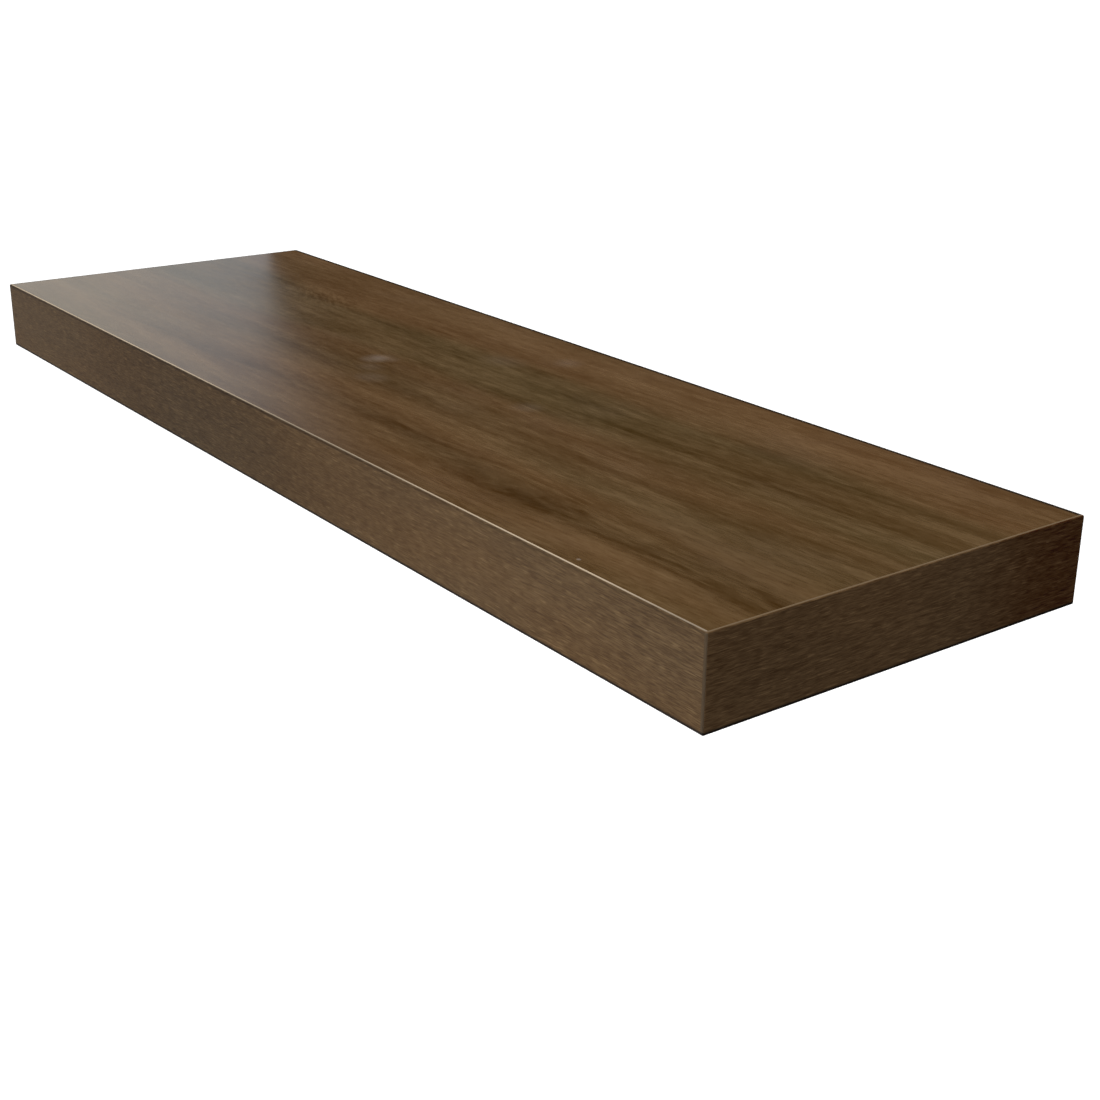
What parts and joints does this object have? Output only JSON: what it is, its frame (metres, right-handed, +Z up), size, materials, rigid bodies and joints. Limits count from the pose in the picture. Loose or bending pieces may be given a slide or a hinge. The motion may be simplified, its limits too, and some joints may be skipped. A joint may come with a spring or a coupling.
{
  "type": "floating wall shelf",
  "caption": "Thick hollow wood-laminate floating shelf that slides onto the rods of a concealed steel wall bracket and locks from below with set screws.",
  "frame": {"origin": "centre of the wall plate's back face, in the plane of the wall, at the middle of the shelf's length and height", "axes": "+X along the wall to the right as seen from the room, +Y into the wall, +Z up"},
  "size_m": [0.914, 0.28, 0.054],
  "materials": {
    "walnut_laminate": "satin decor laminate with streaky walnut grain",
    "walnut_edge_band": "matt edge band with fine combed walnut grain",
    "fibreboard": "raw fibreboard",
    "frame_softwood": "planed softwood",
    "dowel_beech": "turned beech",
    "honeycomb_paper": "kraft paper",
    "plate_powder_coat": "fine-textured black powder coat",
    "zinc_steel": "bright zinc plate on turned steel",
    "cap_plastic": "moulded, matt",
    "insert_brass": "turned brass",
    "set_screw_steel": "black oxide"
  },
  "bodies": {
    "bracket": {"wall_plate": "plate_powder_coat", "left_support_rod": "zinc_steel", "centre_support_rod": "zinc_steel", "right_support_rod": "zinc_steel", "rod_jam_nuts": "zinc_steel", "rod_nose_caps": "cap_plastic"},
    "shelf": {"top_laminate": "walnut_laminate", "bottom_laminate": "walnut_laminate", "front_edge_band": "walnut_edge_band", "left_edge_band": "walnut_edge_band", "right_edge_band": "walnut_edge_band", "top_panel": "fibreboard", "bottom_panel": "fibreboard", "front_rail": "frame_softwood", "back_rail": "frame_softwood", "left_end_rail": "frame_softwood", "right_end_rail": "frame_softwood", "left_rod_rib": "frame_softwood", "centre_rod_rib": "frame_softwood", "right_rod_rib": "frame_softwood", "frame_dowels": "dowel_beech", "left_outer_core": "honeycomb_paper", "left_inner_core": "honeycomb_paper", "right_inner_core": "honeycomb_paper", "right_outer_core": "honeycomb_paper", "threaded_inserts": "insert_brass"},
    "left_lock": {"left_set_screw": "set_screw_steel"},
    "right_lock": {"right_set_screw": "set_screw_steel"}
  },
  "joints": [
    {"name": "shelf_slide", "type": "slide", "parent": "bracket", "child": "shelf", "axis": [0, -1, 0], "range_m": [0, 0.21]},
    {"name": "left_lock_travel", "type": "slide", "parent": "shelf", "child": "left_lock", "axis": [0, 0, -1], "range_m": [0, 0.004]},
    {"name": "right_lock_travel", "type": "slide", "parent": "shelf", "child": "right_lock", "axis": [0, 0, -1], "range_m": [0, 0.004]}
  ]
}
